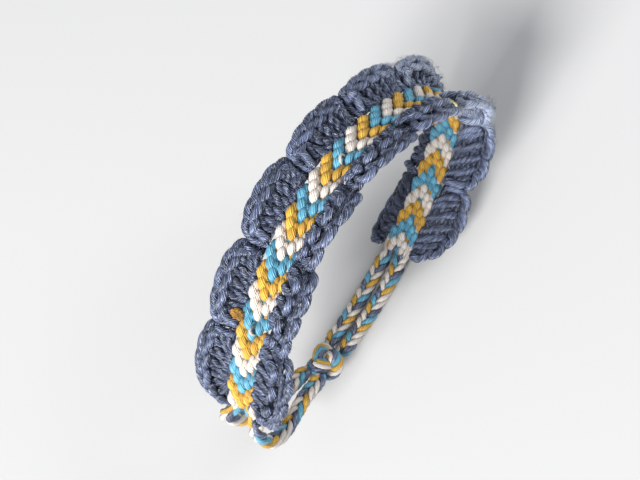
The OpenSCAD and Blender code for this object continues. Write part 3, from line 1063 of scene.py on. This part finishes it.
def amber_end():
    """Cut threads standing side by side in an oval: seeds of a sunflower spiral,
    each at an angle of 2.4 radians from the last and at the root of its share."""
    k = np.arange(AMBER_THREADS)
    reach, angle = np.sqrt((k + 0.5) / AMBER_THREADS), SPIRAL_ANGLE * k
    t = np.linspace(0, 1, 8)[None]
    spread = AMBER_FOOT + (1 - AMBER_FOOT) * t
    s = AMBER_AT[0] + AMBER_W / 2 * (reach * np.cos(angle))[:, None] * spread
    y = AMBER_AT[1] + AMBER_H / 2 * (reach * np.sin(angle))[:, None] * spread
    top = AMBER_TOP - AMBER_ROUND * reach + rng.uniform(-AMBER_VARY, AMBER_VARY, AMBER_THREADS)
    out = AMBER_LOW + (top[:, None] - AMBER_LOW) * t
    path = on_loop(s, y, out)
    up = unit(on_loop(s + 1, y, out) - path)
    return [strands(path, up, AMBER_THREAD_R, AMBER_THREAD_R, 5.0, sides=8, threads=4,
                    shade=rng.uniform(0.0, AMBER_SHADE, AMBER_THREADS)[:, None])]


def laid_on_edging(hand, table, places, radius):
    """One thread through places s, v, w on an edging, thicker towards its end."""
    t = np.linspace(0, 1, len(places))
    fine = np.linspace(0, 1, 20)
    s, v, w = (np.interp(fine, t, column)[None] for column in np.array(places).T)
    path, up = on_sheet(hand, table, s, v, w)
    thick = radius * (THIN_END + (1 - THIN_END) * fine)
    return [strands(path, up, thick, thick, 2.0, sides=8, threads=4)]


make_piece("cream_loops", cream_loops(), FLOSS["cream"])
make_piece("amber_end", amber_end(), FLOSS["amber"])
straw = laid_on_edging(-1, FRONT_SHELLS, STRAW_PLACES, STRAW_R)
make_piece("straw_thread", straw, FLOSS["straw"])
hair = laid_on_edging(1, BACK_SHELLS, HAIR_PLACES, HAIR_R)
make_piece("pale_hair", hair, FLOSS["cream"])

# %% [markdown]
# ## Fuzz on the slate yarn
# Fine fibres stand out of the slate yarn, most of all at the far bend, where
# it rubs. Hair particles would not be exported, so every fibre is a very thin
# strand with few faces.

# %% Raise the fuzz
FIBRES = 260
FAR_FIBRES = 400
FAR_FUZZ = (26.0, 47.0)
FIBRE_LONG = (0.25, 0.7)
FAR_LONGER = 1.1
FIBRE_BEND = 1.2
FIBRE_FAN = 0.4
FIBRE_SHADE = -0.6
FIBRE_R = 0.02
FIBRE_RINGS = 5


def fuzz(hand, table, shell_h):
    """Fine fibres that leave the rim outwards and bend by the square of their
    way: some are spread over every shell, and more stand close together at
    the far bend."""
    place = np.concatenate([rng.uniform(EDGING_START, EDGING_START + SHELLS * SHELL_LEN, FIBRES),
                            rng.uniform(*FAR_FUZZ, FAR_FIBRES)])
    shell = np.clip(((place - EDGING_START) / SHELL_LEN).astype(int), 0, SHELLS - 1)
    local = place - EDGING_START - (shell + 0.5) * SHELL_LEN
    height, out_s, out_v = np.zeros((3, len(place)))
    for number in range(SHELLS):
        length, s, v, way_s, way_v = rim_line(table, shell_h, number)
        pick = shell == number
        order = np.argsort(s)
        height[pick], out_s[pick], out_v[pick] = (
            np.interp(local[pick], s[order], values[order]) for values in (v, way_s, way_v))
    t = np.linspace(0, 1, FIBRE_RINGS)
    long = rng.uniform(*FIBRE_LONG, (len(place), 1))
    long[FIBRES:] = long[FIBRES:] * FAR_LONGER
    bend_s, bend_w = rng.uniform(-FIBRE_BEND, FIBRE_BEND, (2, len(place), 1))
    depth = rng.uniform(-1.0, 1.0, (len(place), 1))
    s = place[:, None] + long * (t * out_s[:, None] + bend_s * t * t)
    v = height[:, None] + long * (t * out_v[:, None])
    w = depth + long * (bend_w * t * t + FIBRE_FAN * depth * t)
    path, up = on_sheet(hand, table, s, v, w)
    return [strands(path, up, FIBRE_R, FIBRE_R, 5.0, sides=4, threads=2, groove=0.0, shade=FIBRE_SHADE)]


for edge, hand, table, shell_h in EDGES:
    make_piece(edge + "_fuzz", fuzz(hand, table, shell_h), FLOSS["haze"])

# %% [markdown]
# ## Floor and light
# One large soft light stands beyond the near end, low enough to leave the far
# end in half shade. A weaker one fills from beyond the far end, and a pale sky
# keeps the gaps from going black.

# %% Lay the floor and hang the lights
FLOOR_GAP = 0.0005
FLOOR_HALF = 0.6
FLOOR_GREY = 0.48
SKY_COLOUR = (0.86, 0.89, 0.95, 1)
SKY_STRENGTH = 0.48


def lay_floor():
    """A flat square just under the lowest strand."""
    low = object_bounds()[0][2] - FLOOR_GAP
    corner = FLOOR_HALF * np.array([[-1, -1], [1, -1], [1, 1], [-1, 1]])
    mesh = bpy.data.meshes.new("floor")
    mesh.from_pydata([(x, y, low) for x, y in corner], [], [(0, 1, 2, 3)])
    material = bpy.data.materials.new("pale_floor")
    material.use_nodes = True
    shader = material.node_tree.nodes["Principled BSDF"]
    shader.inputs["Base Color"].default_value = (FLOOR_GREY, FLOOR_GREY, FLOOR_GREY, 1)
    shader.inputs["Roughness"].default_value = 0.9
    mesh.materials.append(material)
    floor = bpy.data.objects.new("floor", mesh)
    bpy.context.scene.collection.objects.link(floor)
    print("floor at", round(low * 1000, 2), "mm")


def hang_light(name, place, size, power, colour):
    """A square area light at a place in metres, turned to face the origin."""
    data = bpy.data.lights.new(name, "AREA")
    data.size = size
    data.energy = power
    data.color = colour
    lamp = bpy.data.objects.new(name, data)
    back = unit(np.array(place, float))
    side = unit(np.cross([0, 0, 1.0], back))
    turn = np.column_stack([side, np.cross(back, side), back, place])
    lamp.matrix_world = Matrix(np.vstack([turn, [0, 0, 0, 1]]).tolist())
    bpy.context.scene.collection.objects.link(lamp)


lay_floor()
hang_light("key_light", (-1.05, -0.15, 0.64), 0.50, 36.0, (1.0, 0.99, 0.97))
hang_light("fill_light", (0.92, -0.60, 0.52), 0.70, 9.5, (0.97, 0.98, 1.0))
world = bpy.data.worlds.new("pale_sky")
world.use_nodes = True
sky = world.node_tree.nodes["Background"]
sky.inputs["Color"].default_value = SKY_COLOUR
sky.inputs["Strength"].default_value = SKY_STRENGTH
bpy.context.scene.world = world
bpy.context.scene.view_settings.view_transform = "Standard"
print("lights:", len(bpy.data.lights))
